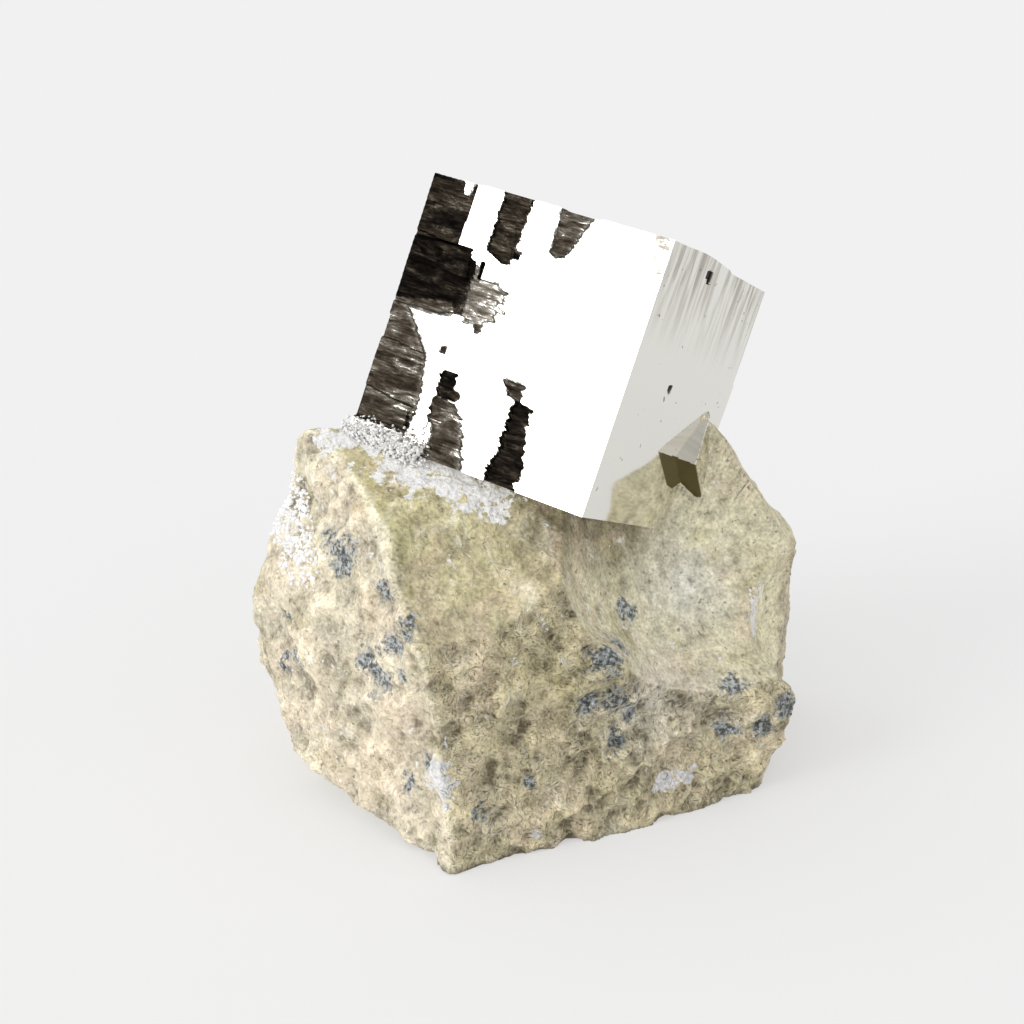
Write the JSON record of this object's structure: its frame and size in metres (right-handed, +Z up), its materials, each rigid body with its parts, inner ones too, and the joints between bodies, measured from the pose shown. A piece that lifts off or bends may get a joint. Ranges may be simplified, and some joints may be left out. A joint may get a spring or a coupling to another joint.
{
  "type": "pyrite specimen on matrix",
  "caption": "Mirror-bright striated pyrite cube grown at a tilt in a broken block of pale olive marl, with a small companion crystal and white calcite crusts.",
  "frame": {"origin": "centre of the bounding box, on the flat base that the block rests on", "axes": "+Z up, +X to the right and +Y away from a viewer who faces the broken front with the brightest cube face to the left"},
  "size_m": [0.0652, 0.0552, 0.0695],
  "materials": {
    "pyrite": "mirror-bright natural crystal faces with fine dark growth striations, iron sulfide",
    "marl": "dull, finely granular broken rock, beige to olive, with dark grains and rust stains",
    "calcite": "white sugary crystals"
  },
  "bodies": {
    "root": {"pyrite_cube": "pyrite", "companion_crystal": "pyrite", "marl_block": "marl", "calcite_shoulder": "calcite", "calcite_notch": "calcite"}
  },
  "joints": []
}
